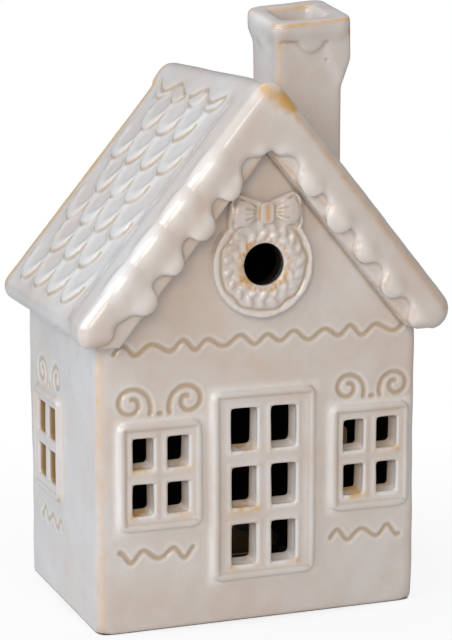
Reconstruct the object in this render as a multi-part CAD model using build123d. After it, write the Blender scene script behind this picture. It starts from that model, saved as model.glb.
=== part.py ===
from build123d import *
import math
import os

# A stoneware tealight house: a hollow gabled house with pierced windows, a fish-scale roof,
# a dripping icing verge and an open chimney. It is open underneath and stands over a tealight.
# Millimetres, +Z up, the door faces -Y. The origin is on the table under the middle of the house.

# Walls
wall_width = 100.0
wall_depth = 70.0
wall_thickness = 5.0
eave_height = 86.0
overrun = 1.0

# Roof slabs: a flat slab each side, with a round eave nose and a round ridge
roof_pitch = 50.5
slab_thickness = 6.0
eave_reach = 1.3
eave_nose_radius = 4.7
ridge_radius = 4.0
front_overhang = 6.1
back_overhang = 8.5

# Fish-scale tiles: tongues with a half-round tip, cut in a few straight sides, that tilt up out of the slab
tile_width = 14.0
tile_tip_sides = 8
tile_pitch = 14.6
tile_row_pitch = 11.6
tile_length = 17.4
tile_lip = 1.1
tile_sink = 0.5
tile_embed = 1.0
tile_first_tip = 15.2
tile_margin = 0.6

# Icing: a raised skin along the front verge with drips on its lower edge, and a cap on the ridge
icing_lift = 1.2
icing_plate = 2.4
icing_strip_width = 10.5
icing_depth = 11.6
icing_drip = 2.2
icing_lobes = 6
icing_chamfer = 2.2
board_depth = 14.0
ridge_cap_reach = 7.0
ridge_cap_drip = 1.2
ridge_cap_lobes = 4

# Chimney: a square stack through the right slope and a dripping cap round its top
chimney_x = 29.7
chimney_y = 11.0
chimney_rise = 15.5
stack_width = 21.4
stack_wall = 3.9
cap_overhang = 2.3
cap_foot_overhang = 0.9
cap_shift = 0.6
cap_corner = 3.4
cap_plate = 5.4
cap_skirt = 3.4
cap_drip_width = 9.6
cap_front_drip = 3.4
cap_right_drip = 6.5
cap_back_drip = 5.4
cap_left_drip = 1.6
cap_corner_drip = 13.0
cap_corner_drip_width = 5.4
cap_corner_full_share = 0.4
cap_lean = 11.0
cap_lean_turn = 30.0

# Windows: a raised panel with a rim, pierced by panes that go on through the wall
window_width = 25.4
window_height = 32.0
left_window_margin = 6.1
right_window_margin = 2.6
window_centre = 46.6
window_pane_width = 7.0
window_pane_height = 9.8
window_mullion = 3.7
window_transom = 3.9
side_window_setback = 14.0
panel_thickness = 1.0
panel_corner = 3.0
rim_width = 2.0
rim_height = 1.7

# Door: the same kind of panel with three rows of panes
door_width = 32.2
door_height = 56.8
door_shift = 0.8
door_centre = 41.4
door_pane_drop = 0.7
door_pane_width = 8.2
door_pane_height = 12.8
door_mullion = 4.2
door_transom = 4.5

# Gable: a bow tucked under the bargeboards, and a round vent with a wreath below it
vent_radius = 6.2
wreath_radius = 16.0
wreath_relief = 2.4
wreath_flat_share = 0.8
bow_clearance = 0.2
bow_overlap = 1.6
bow_shift = 0.6
bow_width = 23.2
bow_outer_height = 11.4
bow_waist_height = 4.8
bow_relief = 2.6
bow_corner = 2.4
knot_width = 4.4
knot_height = 5.6
knot_relief = 3.8
knot_corner = 1.4

# Tealight: a thin aluminium cup filled with wax round a wick in a tin foot
cup_radius = 19.0
cup_height = 15.5
cup_wall = 0.4
wax_level = 12.4
tab_radius = 6.5
tab_thickness = 0.4
tab_neck_radius = 1.7
tab_neck_height = 3.2
wick_radius = 0.75
wick_top = 18.6

# Worked out from the sizes above
pitch_sin = math.sin(math.radians(roof_pitch))
pitch_cos = math.cos(math.radians(roof_pitch))
pitch_tan = pitch_sin / pitch_cos
half_width = wall_width / 2
half_depth = wall_depth / 2
inner_half_width = half_width - wall_thickness
inner_half_depth = half_depth - wall_thickness
nose_x = half_width + eave_reach
nose_z = eave_height + eave_nose_radius
ridge_height = nose_z + (nose_x * pitch_sin + eave_nose_radius) / pitch_cos
ceiling_apex = ridge_height - slab_thickness / pitch_cos
ceiling_edge = ceiling_apex - inner_half_width * pitch_tan
slab_front = -half_depth - front_overhang
slab_back = half_depth + back_overhang
icing_strip_back = slab_front + icing_strip_width
cap_top = ridge_height + chimney_rise
stack_top = cap_top - cap_plate
flue_width = stack_width - stack_wall * 2
cap_width = stack_width + cap_overhang * 2
left_window_x = left_window_margin + window_width / 2 - half_width
right_window_x = half_width - right_window_margin - window_width / 2
board_apex = ridge_height + (icing_lift - board_depth) / pitch_cos
bow_corner_room = bow_corner * (pitch_sin + pitch_cos - 1) / pitch_cos
bow_drop = (bow_width / 2 + bow_shift) * pitch_tan + bow_outer_height / 2 + bow_clearance - bow_corner_room
bow_height = board_apex - bow_drop
vent_height = bow_height - wreath_radius + bow_overlap
vent_axis = Axis((0, -half_depth, vent_height), (0, 1, 0))

# Wall faces as drawing planes: local x runs to the right of someone who looks at the face, local y is up
front_face = Plane(origin=(0, -half_depth, 0), x_dir=(1, 0, 0), z_dir=(0, -1, 0))
left_face = Plane(origin=(-half_width, 0, 0), x_dir=(0, -1, 0), z_dir=(-1, 0, 0))
right_face = Plane(origin=(half_width, 0, 0), x_dir=(0, 1, 0), z_dir=(1, 0, 0))
down_slope = (pitch_cos, 0, -pitch_sin)
out_of_slope = (pitch_sin, 0, pitch_cos)
slope_face = Plane(origin=(0, 0, ridge_height), x_dir=down_slope, z_dir=out_of_slope)


def section(sketch, front, back):
    """Extrudes a sketch drawn in x and z from y = front to y = back."""
    return extrude(Plane.XZ.offset(-back) * sketch, amount=back - front)


def on_face(face, sketch, start, end):
    """Extrudes a sketch on a wall face between two heights off that face."""
    return extrude(face.offset(start) * sketch, amount=end - start)


def wave_curve(start, end, lobes, rise):
    """A chain of arcs that swings rise / 2 to each side of the line from start to end, a lobe at both ends."""
    run = (end[0] - start[0], end[1] - start[1])
    length = math.hypot(run[0], run[1])
    side = (-run[1] / length * rise / 2, run[0] / length * rise / 2)
    arcs = []
    count = 2 * lobes - 1
    for i in range(count):
        places = [(i + step_share) / count for step_share in (0, 0.5, 1)]
        first, middle, last = [(start[0] + run[0] * t, start[1] + run[1] * t) for t in places]
        swing = -1 if i % 2 else 1
        middle = (middle[0] + side[0] * swing, middle[1] + side[1] * swing)
        arcs.append(ThreePointArc(first, middle, last))
    return arcs


def roof_edge(lift):
    """The roof's right outline, raised by lift: ridge arc, slope line and eave nose arc, with its two ends."""
    ridge_r = ridge_radius + lift
    nose_r = eave_nose_radius + lift
    ridge_z = ridge_height - ridge_radius / pitch_cos
    half_turn = math.radians(roof_pitch) / 2
    top = (0, ridge_z + ridge_r)
    shoulder = (ridge_r * math.sin(half_turn), ridge_z + ridge_r * math.cos(half_turn))
    slope_top = (ridge_r * pitch_sin, ridge_z + ridge_r * pitch_cos)
    slope_end = (nose_x + nose_r * pitch_sin, nose_z + nose_r * pitch_cos)
    tip = (nose_x + nose_r, nose_z)
    bottom = (nose_x, nose_z - nose_r)
    curves = [
        ThreePointArc(top, shoulder, slope_top),
        Line(slope_top, slope_end),
        ThreePointArc(slope_end, tip, bottom),
    ]
    return curves, top, bottom


def roof_skin():
    """The band between the slab's outer face and the face that lies icing_lift above it."""
    outer, outer_top, outer_bottom = roof_edge(icing_lift)
    inner, inner_top, inner_bottom = roof_edge(0)
    return make_face(outer + [Line(outer_bottom, inner_bottom)] + inner + [Line(inner_top, outer_top)])


def stack_outline():
    return Pos(chimney_x, chimney_y) * Rectangle(stack_width, stack_width)


def flue_outline():
    return Pos(chimney_x, chimney_y) * Rectangle(flue_width, flue_width)


def tile():
    """One tile, its tip at the local origin, its top face sloping down into the slab behind it."""
    half = tile_width / 2
    turns = [math.pi * (i * 2 - tile_tip_sides) / (tile_tip_sides * 2) for i in range(tile_tip_sides + 1)]
    tip = [(half * math.cos(turn) - half, half * math.sin(turn)) for turn in turns]
    tongue = make_face(Polyline(*tip, (-tile_length, half), (-tile_length, -half), close=True))
    tilt = math.degrees(math.atan2(tile_lip + tile_sink, tile_length))
    body = extrude(tongue, amount=-tile_lip - tile_embed)
    return Pos(0, 0, tile_lip) * Rot(0, -tilt, 0) * body


def tile_places():
    """Tip places down the slope and along the roof: full rows, and rows of one less set half a tile over."""
    field_front = icing_strip_back + tile_margin
    field_back = slab_back - tile_margin
    full = int((field_back - field_front) / tile_pitch)
    middle = (field_front + field_back) / 2
    slope_length = nose_x / pitch_cos + eave_nose_radius * pitch_tan
    rows = int((slope_length - tile_first_tip) / tile_row_pitch) + 1
    places = []
    for row in range(rows):
        count = full - row % 2
        for i in range(count):
            along = middle + (i - (count - 1) / 2) * tile_pitch
            places.append((tile_first_tip + row * tile_row_pitch, along))
    return places


def right_slope():
    """Slab with eave block and tiles, before the chimney is let in."""
    edge, top, bottom = roof_edge(0)
    inside = Polyline(
        bottom, (inner_half_width, eave_height), (inner_half_width, ceiling_edge), (0, ceiling_apex), top
    )
    slab = section(make_face(edge + [inside]), slab_front, slab_back)
    room = (wall_width, slab_back - slab_front, ridge_height + overrun)
    below_ridge = Pos(ridge_cap_reach - ridge_cap_drip, 0, 0)
    below_ridge *= Box(*room, align=(Align.MIN, Align.CENTER, Align.MIN))
    tiles = [(slope_face * Pos(down, along, 0) * tile()) & below_ridge for down, along in tile_places()]
    return slab + tiles


def ridge_cap():
    """Smooth icing along the ridge with a wavy edge down each slope."""
    reach_front = (ridge_cap_reach, icing_strip_back)
    reach_back = (ridge_cap_reach, slab_back)
    wave = wave_curve(reach_front, reach_back, ridge_cap_lobes, ridge_cap_drip * 2)
    rest = Polyline(reach_back, (0, slab_back), (0, icing_strip_back), reach_front)
    footprint = extrude(make_face(wave + [rest]), amount=ridge_height + icing_lift / pitch_cos)
    half = section(roof_skin(), icing_strip_back, slab_back) & footprint
    return half + mirror(half, about=Plane.YZ)


def verge_points():
    """Points on the icing's outer front edge: one on the ridge arc, one on the slope and one on the eave nose."""
    front = slab_front - icing_plate
    ridge_r = ridge_radius + icing_lift
    nose_r = eave_nose_radius + icing_lift
    half_turn = math.radians(roof_pitch) / 2
    ridge_z = ridge_height - ridge_radius / pitch_cos
    ridge_point = (ridge_r * math.sin(half_turn), front, ridge_z + ridge_r * math.cos(half_turn))
    slope_z = ridge_height + icing_lift / pitch_cos - half_width / 2 * pitch_tan
    slope_point = (half_width / 2, front, slope_z)
    nose_point = (nose_x + nose_r, front, nose_z)
    return ridge_point, slope_point, nose_point


def bevelled_gable():
    """The right half of a solid gable as deep as the icing, its outer front edge bevelled."""
    edge, top, bottom = roof_edge(icing_lift)
    half = make_face(edge + [Polyline(bottom, (0, bottom[1]), top)])
    block = section(half, slab_front - icing_plate, icing_strip_back)
    outer = [block.edges().sort_by_distance(point)[0] for point in verge_points()]
    return chamfer(outer, icing_chamfer)


def right_icing():
    """Front verge icing: a plate with a dripping lower edge, and a strip that turns over onto the roof."""
    edge, top, bottom = roof_edge(icing_lift)
    line_apex = ridge_height + (icing_lift - icing_depth) / pitch_cos
    foot_z = bottom[1]
    foot = ((line_apex - foot_z) / pitch_tan, foot_z)
    apex = (0, line_apex)
    drips = wave_curve(foot, apex, icing_lobes, icing_drip * 2)
    plate_face = make_face(edge + [Line(bottom, foot)] + drips + [Line(apex, top)])
    plate = section(plate_face, slab_front - icing_plate, slab_front)
    strip = section(roof_skin(), slab_front, icing_strip_back)
    return (plate + strip) & bevelled_gable()


def right_bargeboard():
    """Plain board under the slab's front overhang, behind the icing."""
    board_edge = board_apex - inner_half_width * pitch_tan
    upper = [(0, ceiling_apex), (inner_half_width, ceiling_edge)]
    lower = [(inner_half_width, board_edge), (0, board_apex)]
    return section(make_face(Polyline(*upper, *lower, close=True)), slab_front, -half_depth)


def chimney_stack():
    """Square tube that passes through the slope and ends flush with its underside."""
    tube = extrude(stack_outline() - flue_outline(), amount=stack_top)
    attic_edge = ceiling_apex - wall_width * pitch_tan
    attic = [(0, ceiling_apex), (wall_width, attic_edge), (wall_width, -wall_width), (0, -wall_width)]
    return tube - section(make_face(Polyline(*attic, close=True)), slab_front, slab_back)


def drip_outline(depth):
    """A tongue with a round end depth below the local origin; its upper end lies inside the collar."""
    radius = cap_drip_width / 2
    tongue = Circle(radius) + Rectangle(cap_drip_width, cap_skirt + depth, align=(Align.CENTER, Align.MIN))
    return Pos(0, radius - depth) * tongue


def corner_drip(skirt_bottom):
    """A thick run down the stack's front right corner that thins out toward its end."""
    side = stack_width / 2
    outer = side + cap_shift + cap_overhang
    full = skirt_bottom - cap_corner_drip * cap_corner_full_share
    end = skirt_bottom - cap_corner_drip
    upper = [(side - cap_corner_drip_width, stack_top), (outer, stack_top), (outer, full)]
    lower = [(side, end), (side - cap_corner_drip_width, full)]
    run = section(make_face(Polyline(*upper, *lower, close=True)), -side - cap_foot_overhang, cap_drip_width - side)
    return Pos(chimney_x, chimney_y) * run


def chimney_cap():
    """Flared collar that sits on the stack, with a drip down each side and a top that leans to the front left."""
    skirt_bottom = stack_top - cap_skirt
    lean = math.radians(cap_lean)
    lean_turn = math.radians(cap_lean_turn)
    tilt_room = cap_width * math.tan(lean)
    place = Pos(chimney_x + cap_shift, chimney_y)
    foot_width = stack_width + cap_foot_overhang * 2
    foot = Plane.XY.offset(skirt_bottom) * place * RectangleRounded(foot_width, foot_width, cap_corner)
    brim = Plane.XY.offset(stack_top) * place * RectangleRounded(cap_width, cap_width, cap_corner)
    collar = loft([foot, brim]) + extrude(brim, amount=cap_plate + tilt_room)
    for quarter, depth in enumerate((cap_front_drip, cap_right_drip, cap_back_drip, cap_left_drip)):
        tongue = extrude(Plane.XZ.offset(stack_width / 2) * drip_outline(depth), amount=cap_foot_overhang)
        collar += Pos(chimney_x, chimney_y, skirt_bottom) * Rot(0, 0, quarter * 90) * tongue
    collar += corner_drip(skirt_bottom)
    collar -= extrude(stack_outline(), amount=stack_top)
    collar -= extrude(flue_outline(), amount=cap_top + tilt_room)
    side_lean = math.sin(lean) * math.sin(lean_turn)
    front_lean = math.sin(lean) * math.cos(lean_turn)
    top = Plane(origin=(chimney_x, chimney_y, cap_top), z_dir=(-side_lean, -front_lean, math.cos(lean)))
    return split(collar, bisect_by=top, keep=Keep.BOTTOM)


def panes(columns, rows, width, height, mullion, transom):
    """A grid of pane outlines about the panel's centre."""
    places = GridLocations(width + mullion, height + transom, columns, rows)
    return Sketch() + [place * Rectangle(width, height) for place in places]


def window_panes():
    return panes(2, 2, window_pane_width, window_pane_height, window_mullion, window_transom)


def door_panes():
    return Pos(0, -door_pane_drop) * panes(2, 3, door_pane_width, door_pane_height, door_mullion, door_transom)


def panel(face, centre_x, centre_z, width, height, holes):
    """A raised panel with a rounded rim, pierced by its panes."""
    outline = RectangleRounded(width, height, panel_corner)
    inside = Rectangle(width - rim_width * 2, height - rim_width * 2)
    place = Pos(centre_x, centre_z)
    plate = on_face(face, place * (outline - holes), 0, panel_thickness)
    rim = on_face(face, place * (outline - inside), 0, rim_height)
    return plate + rim


def gable_outline():
    """Front and back wall: a gable that fits under the slabs and between the eave blocks."""
    right = [(half_width, 0), (half_width, eave_height), (inner_half_width, eave_height)]
    right.append((inner_half_width, ceiling_edge))
    left = [(-x, z) for x, z in reversed(right)]
    return make_face(Polyline(*right, (0, ceiling_apex), *left, close=True))


def front_wall():
    wall = section(gable_outline(), -half_depth, -inner_half_depth)
    holes = Pos(door_shift, door_centre) * door_panes()
    for centre_x in (left_window_x, right_window_x):
        holes += Pos(centre_x, window_centre) * window_panes()
    holes += Pos(0, vent_height) * Circle(vent_radius)
    return wall - on_face(front_face, holes, -wall_thickness - overrun, overrun)


def back_wall():
    return section(gable_outline(), inner_half_depth, half_depth)


def side_wall(face, centre_x):
    outline = Pos(0, eave_height / 2) * Rectangle(inner_half_depth * 2, eave_height)
    wall = on_face(face, outline, -wall_thickness, 0)
    holes = Pos(centre_x, window_centre) * window_panes()
    return wall - on_face(face, holes, -wall_thickness - overrun, overrun)


def window_panel(face, centre_x):
    return panel(face, centre_x, window_centre, window_width, window_height, window_panes())


def bow():
    """Two flared loops and a knot over their middle."""
    half_bow = bow_width / 2
    half_knot = knot_width / 2
    loops = Sketch()
    for side in (-1, 1):
        corners = Polyline(
            (0, bow_waist_height / 2),
            (side * half_bow, bow_outer_height / 2),
            (side * half_bow, -bow_outer_height / 2),
            (0, -bow_waist_height / 2),
            close=True,
        )
        loop = make_face(corners)
        outer = loop.vertices().filter_by(lambda v: abs(v.X) > half_knot)
        loops += fillet(outer, bow_corner)
    knot = RectangleRounded(knot_width, knot_height, knot_corner)
    place = Pos(bow_shift, bow_height)
    return on_face(front_face, place * loops, 0, bow_relief) + on_face(front_face, place * knot, 0, knot_relief)


def wreath(bow_body):
    """A ring round the vent with a sloping outer side, let in under the bow."""
    flat_edge = vent_radius + wreath_flat_share * (wreath_radius - vent_radius)
    corners = [(vent_radius, 0), (vent_radius, -wreath_relief), (flat_edge, -wreath_relief), (wreath_radius, 0)]
    profile = make_face(Polyline(*corners, close=True))
    ring = revolve(Pos(0, -half_depth, vent_height) * profile, axis=vent_axis)
    return ring - bow_body


def turned(points):
    """A solid of revolution about +Z from radius and height pairs."""
    return revolve(Plane.XZ * make_face(Polyline(*points, close=True)), axis=Axis.Z)


def tealight_cup():
    return turned([
        (0, 0),
        (cup_radius, 0),
        (cup_radius, cup_height),
        (cup_radius - cup_wall, cup_height),
        (cup_radius - cup_wall, cup_wall),
        (0, cup_wall),
    ])


def wick_tab():
    """Tin foot: a disc with a short neck that grips the wick."""
    neck_top = cup_wall + tab_thickness + tab_neck_height
    return turned([
        (0, cup_wall),
        (tab_radius, cup_wall),
        (tab_radius, cup_wall + tab_thickness),
        (tab_neck_radius, cup_wall + tab_thickness),
        (tab_neck_radius, neck_top),
        (wick_radius, neck_top),
        (wick_radius, cup_wall + tab_thickness),
        (0, cup_wall + tab_thickness),
    ])


def wick():
    foot = cup_wall + tab_thickness
    return turned([(0, foot), (wick_radius, foot), (wick_radius, wick_top), (0, wick_top)])


def wax():
    radius = cup_radius - cup_wall
    block = turned([(0, cup_wall), (radius, cup_wall), (radius, wax_level), (0, wax_level)])
    return block - wick_tab() - wick()


def build():
    slope = right_slope()
    bow_body = bow()
    icing = right_icing()
    board = right_bargeboard()
    cap = ridge_cap()
    left_slope = mirror(slope, about=Plane.YZ)
    chimney_hole = extrude(Plane.XY.offset(eave_height) * stack_outline(), amount=cap_top)
    return {
        "front_wall": front_wall(),
        "back_wall": back_wall(),
        "left_wall": side_wall(left_face, -side_window_setback),
        "right_wall": side_wall(right_face, side_window_setback),
        "left_roof_slope": left_slope - cap,
        "right_roof_slope": slope - cap - chimney_hole,
        "ridge_cap": cap,
        "front_left_bargeboard": mirror(board, about=Plane.YZ),
        "front_right_bargeboard": board,
        "front_left_icing": mirror(icing, about=Plane.YZ),
        "front_right_icing": icing,
        "chimney_stack": chimney_stack(),
        "chimney_cap": chimney_cap(),
        "door_panel": panel(front_face, door_shift, door_centre, door_width, door_height, door_panes()),
        "front_left_window": window_panel(front_face, left_window_x),
        "front_right_window": window_panel(front_face, right_window_x),
        "left_side_window": window_panel(left_face, -side_window_setback),
        "right_side_window": window_panel(right_face, side_window_setback),
        "wreath": wreath(bow_body),
        "bow": bow_body,
        "tealight_cup": tealight_cup(),
        "wax": wax(),
        "wick_tab": wick_tab(),
        "wick": wick(),
    }


os.makedirs("parts", exist_ok=True)
for node, shape in build().items():
    export_step(shape, f"parts/{node}.step")
    print(node, "solids", len(shape.solids()), "volume", round(shape.volume, 1))
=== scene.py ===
# %% [markdown]
# # A stoneware tealight house
# The real object is a small hollow house of cast stoneware under a glossy off-white glaze. Clay tiles,
# window panels, a wreath and drips of "icing" are joined on before it is fired, and the glaze then
# runs over everything, so no seam is left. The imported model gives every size. This lesson dresses it.

# %% Load the frame
import bpy
import bmesh
import math
import numpy as np
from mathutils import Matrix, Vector


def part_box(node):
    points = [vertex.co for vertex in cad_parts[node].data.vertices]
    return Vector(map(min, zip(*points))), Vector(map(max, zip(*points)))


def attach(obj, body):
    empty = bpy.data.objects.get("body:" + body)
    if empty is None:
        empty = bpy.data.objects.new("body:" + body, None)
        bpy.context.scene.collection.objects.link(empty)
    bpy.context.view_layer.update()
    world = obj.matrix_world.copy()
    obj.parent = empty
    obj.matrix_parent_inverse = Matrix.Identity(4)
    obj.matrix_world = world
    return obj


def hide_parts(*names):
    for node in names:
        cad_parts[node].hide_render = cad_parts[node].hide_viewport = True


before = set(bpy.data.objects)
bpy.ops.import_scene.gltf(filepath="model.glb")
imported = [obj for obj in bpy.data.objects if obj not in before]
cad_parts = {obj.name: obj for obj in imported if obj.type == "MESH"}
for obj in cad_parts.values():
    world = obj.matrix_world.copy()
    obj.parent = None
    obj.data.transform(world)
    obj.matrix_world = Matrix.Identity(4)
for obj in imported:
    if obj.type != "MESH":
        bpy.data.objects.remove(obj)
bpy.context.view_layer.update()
scene = bpy.context.scene
scene.view_settings.view_transform = "Standard"
MM = 0.001

# %% [markdown]
# ## Camera
# The view was found by fitting a camera to the house's edges in the photograph: a long lens, a little
# above the eaves, off the house's front left corner.

# %% Camera
VIEW_AZIMUTH = math.radians(-20.61)
VIEW_ELEVATION = math.radians(10.88)
VIEW_DISTANCE = 660.25 * MM
VIEW_TARGET = Vector((-1.45 * MM, -10.0 * MM, 85.63 * MM))
VIEW_LENS = 123.75

toward_camera = Vector((
    math.sin(VIEW_AZIMUTH) * math.cos(VIEW_ELEVATION),
    -math.cos(VIEW_AZIMUTH) * math.cos(VIEW_ELEVATION),
    math.sin(VIEW_ELEVATION),
))
camera_data = bpy.data.cameras.new("camera")
camera_data.lens = VIEW_LENS
camera_data.sensor_width = 36.0
camera = bpy.data.objects.new("camera", camera_data)
scene.collection.objects.link(camera)
camera.location = VIEW_TARGET + toward_camera * VIEW_DISTANCE
camera.rotation_euler = toward_camera.to_track_quat("Z", "Y").to_euler()
scene.camera = camera
print("camera at", tuple(round(v, 3) for v in camera.location))

# %% [markdown]
# ## A little language for node trees
# Materials and Geometry Nodes are both graphs. One method adds any node: its type, its settings, then
# the values or links of its sockets. Wires overload the operators, so node maths reads as maths.


# %% Node language
def operator(operation, swapped=False):
    """A method that adds the Math node of one arithmetic sign."""
    def method(self, other):
        return self.maths(operation, *((other, self) if swapped else (self, other)))

    return method


class Wire:
    """An output socket. Plain arithmetic on wires adds Math nodes."""

    __add__ = operator("ADD")
    __radd__ = operator("ADD", swapped=True)
    __sub__ = operator("SUBTRACT")
    __rsub__ = operator("SUBTRACT", swapped=True)
    __mul__ = operator("MULTIPLY")
    __rmul__ = operator("MULTIPLY", swapped=True)
    __truediv__ = operator("DIVIDE")
    most = operator("MAXIMUM")

    def __init__(self, graph, socket):
        self.graph = graph
        self.socket = socket

    def maths(self, operation, *values, clamp=False):
        return self.graph.node("ShaderNodeMath", {"operation": operation, "use_clamp": clamp}, values)

    def clamped(self):
        return self.maths("ADD", self, 0.0, clamp=True)

    def above(self, low, high):
        """0 below low, 1 above high, a straight rise between."""
        return ((self - low) / (high - low)).clamped()


def named(sockets, name):
    """The first socket in use with that name; a node hides the twins that other settings use."""
    return next(s for s in sockets if s.name == name and s.enabled)


class Graph:
    """A node tree with one method for every node."""

    def __init__(self, tree):
        self.tree = tree

    def node(self, kind, settings=None, inputs=(), output=0):
        made = self.tree.nodes.new(kind)
        for key, value in (settings or {}).items():
            setattr(made, key, value)
        pairs = inputs.items() if isinstance(inputs, dict) else enumerate(inputs)
        for key, value in pairs:
            socket = named(made.inputs, key) if isinstance(key, str) else made.inputs[key]
            if isinstance(value, Wire):
                self.tree.links.new(value.socket, socket)
            else:
                socket.default_value = value
        if isinstance(output, str):
            return Wire(self, named(made.outputs, output))
        return Wire(self, [s for s in made.outputs if s.enabled][output])


class Finish(Graph):
    """A material with one Principled BSDF; node() adds to it."""

    def __init__(self, name, **constants):
        self.material = bpy.data.materials.new(name)
        self.material.use_nodes = True
        super().__init__(self.material.node_tree)
        self.shader = self.tree.nodes["Principled BSDF"]
        for key, value in constants.items():
            self.shader.inputs[key.replace("_", " ")].default_value = value

    def feed(self, socket, wire):
        self.tree.links.new(wire.socket, self.shader.inputs[socket])

    def place(self):
        return self.node("ShaderNodeTexCoord", output="Object")

    def noise(self, scale, detail=3.0, roughness=0.5):
        sockets = {"Vector": self.place(), "Scale": scale, "Detail": detail, "Roughness": roughness}
        return self.node("ShaderNodeTexNoise", {}, sockets)

    def attribute(self, name):
        return self.node("ShaderNodeAttribute", {"attribute_name": name}, output="Fac")

    def blend(self, factor, first, second):
        return self.node("ShaderNodeMix", {"data_type": "RGBA"}, {"Factor": factor, "A": first, "B": second})

    def bump(self, height, distance, strength=1.0):
        return self.node("ShaderNodeBump", {}, {"Height": height, "Distance": distance, "Strength": strength})


class Recipe(Graph):
    """A Geometry Nodes tree with named inputs, which ends in plain geometry with one material."""

    def __init__(self, name):
        super().__init__(bpy.data.node_groups.new(name, "GeometryNodeTree"))
        for way in ("INPUT", "OUTPUT"):
            self.tree.interface.new_socket("Geometry", in_out=way, socket_type="NodeSocketGeometry")
        self.entry = self.tree.nodes.new("NodeGroupInput")
        self.keys = {}

    def given(self, **kinds):
        """Adds named inputs and gives a wire for each."""
        for name, kind in kinds.items():
            socket = self.tree.interface.new_socket(name, in_out="INPUT", socket_type="NodeSocket" + kind)
            self.keys[name] = socket.identifier
        return [Wire(self, self.entry.outputs[name]) for name in kinds]

    def geometry(self):
        return Wire(self, self.entry.outputs["Geometry"])

    def shape_of(self, obj):
        settings = {"transform_space": "ORIGINAL"}
        return self.node("GeometryNodeObjectInfo", settings, {"Object": obj}, "Geometry")

    def pushed(self, geometry, way, amount):
        """The geometry with every point moved by an amount along a way."""
        offset = self.node("ShaderNodeVectorMath", {"operation": "SCALE"}, {"Vector": way, "Scale": amount})
        return self.node("GeometryNodeSetPosition", {}, {"Geometry": geometry, "Offset": offset})

    def copies(self, points, member, angles, least, most, seed):
        """The member on every point, each copy a little larger or smaller than the next."""
        turn = self.node("FunctionNodeEulerToRotation", {}, [angles])
        scale = self.node("FunctionNodeRandomValue", {}, {"Min": least, "Max": most, "Seed": seed})
        sockets = {"Points": points, "Instance": member, "Rotation": turn, "Scale": scale}
        return self.node("GeometryNodeInstanceOnPoints", {}, sockets)

    def finish(self, geometry, material):
        real = self.node("GeometryNodeRealizeInstances", {}, [geometry])
        dressed = self.node("GeometryNodeSetMaterial", {}, {"Geometry": real, "Material": material})
        end = self.tree.nodes.new("NodeGroupOutput")
        self.tree.links.new(dressed.socket, end.inputs[0])
        return self

    def add_to(self, obj, values):
        modifier = obj.modifiers.new(self.tree.name, "NODES")
        modifier.node_group = self.tree
        for name, value in values.items():
            modifier[self.keys[name]] = value


print("node language ready")

# %% [markdown]
# ## The glaze
# The glaze is a milky off-white that turns glossy in the kiln. Where it runs thin over a sharp edge, the
# tan clay body shows through; where it gathers it is whiter, and in a drawn line it darkens to tan. The
# mesh carries five measures for that: `edge` (thin on a sharp edge, and painted shade on the side windows'
# reveals), `line` (a drawn line), `pool_and_highlight` (thick and white, and a painted highlight where a
# stroke stands in for light), `sill` (ledges and hollows where ochre collects, whitened in part as painted
# light) and
# `inside` (painted near-black shade on the inner walls).

# %% Glaze material
MILK = (0.600, 0.530, 0.475, 1.0)
PEARL = (0.640, 0.603, 0.580, 1.0)
WHITE = (0.800, 0.775, 0.750, 1.0)
LINE_TAN = (0.445, 0.335, 0.225, 1.0)
CLAY = (0.60, 0.43, 0.30, 1.0)
OCHRE = (0.62, 0.37, 0.11, 1.0)
# Painted shade: the inner walls are coloured near black to stand in for the dark inside of the house.
INSIDE_SHADE = (0.010, 0.006, 0.004, 1.0)
MEASURES = ("edge", "line", "pool_and_highlight", "sill", "inside")


def glaze_finish():
    glaze = Finish("glaze", Coat_Roughness=0.09, Coat_IOR=1.5, IOR=1.5, Specular_IOR_Level=0.15)
    edge, line, pool_and_highlight, sill, inside = [glaze.attribute(name) for name in MEASURES]
    cloud = glaze.noise(34.0, 4.0, 0.55)
    patch = glaze.noise(110.0, 3.0, 0.5)
    spot = glaze.noise(330.0, 2.0, 0.5)
    fleck = glaze.noise(620.0, 3.0, 0.6)
    milk = glaze.blend(cloud.above(0.40, 0.62), MILK, PEARL)
    mottled = glaze.blend(fleck.above(0.58, 0.78) * 0.26 + patch.above(0.52, 0.72) * 0.20, milk, CLAY)
    # Whiter where the glaze pools, and in part painted light: sills, tile middles, drip lumps, verge rolls
    # and the chimney's left face are whitened as highlights.
    pooled_and_lit = glaze.blend(pool_and_highlight.most(sill) * (0.45 + 0.35 * spot), mottled, WHITE)
    thin = (edge * (0.45 + patch) + (spot - 0.5) * 0.9 * edge).above(0.22, 0.80)
    warm = glaze.blend((edge * 0.6 + patch * 0.8).above(0.80, 1.05), CLAY, OCHRE)
    broken = glaze.blend(thin * 0.9, pooled_and_lit, warm)
    stained = glaze.blend(sill * patch.above(0.47, 0.62) * spot.above(0.30, 0.55) * 0.85, broken, OCHRE)
    drawn = glaze.blend((line * (0.75 + 0.5 * fleck)).above(0.12, 0.80) * 0.85, stained, LINE_TAN)
    # Painted shade: where the inside measure is 1 the colour turns near black.
    glaze.feed("Base Color", glaze.blend(inside, drawn, INSIDE_SHADE))
    glaze.feed("Roughness", 0.17 + inside * 0.6 + thin * 0.10 + (fleck - 0.5) * 0.05)
    glaze.feed("Coat Weight", (0.9 - inside * 0.9).clamped())
    ripple = glaze.noise(120.0, 2.0, 0.5) * 0.6 + spot * 0.12 + fleck * 0.04
    glaze.feed("Normal", glaze.bump(ripple, 0.0009, 0.40))
    return glaze.material


glaze_material = glaze_finish()
print("made", glaze_material.name)

# %% [markdown]
# ## Clay copies and the fused glaze skin
# A fired pot has no seams. So copies of the clay members are put together in one mesh, a voxel remesh
# melts them into a single skin, and a few smoothing passes round every edge as the glaze does.


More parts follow.
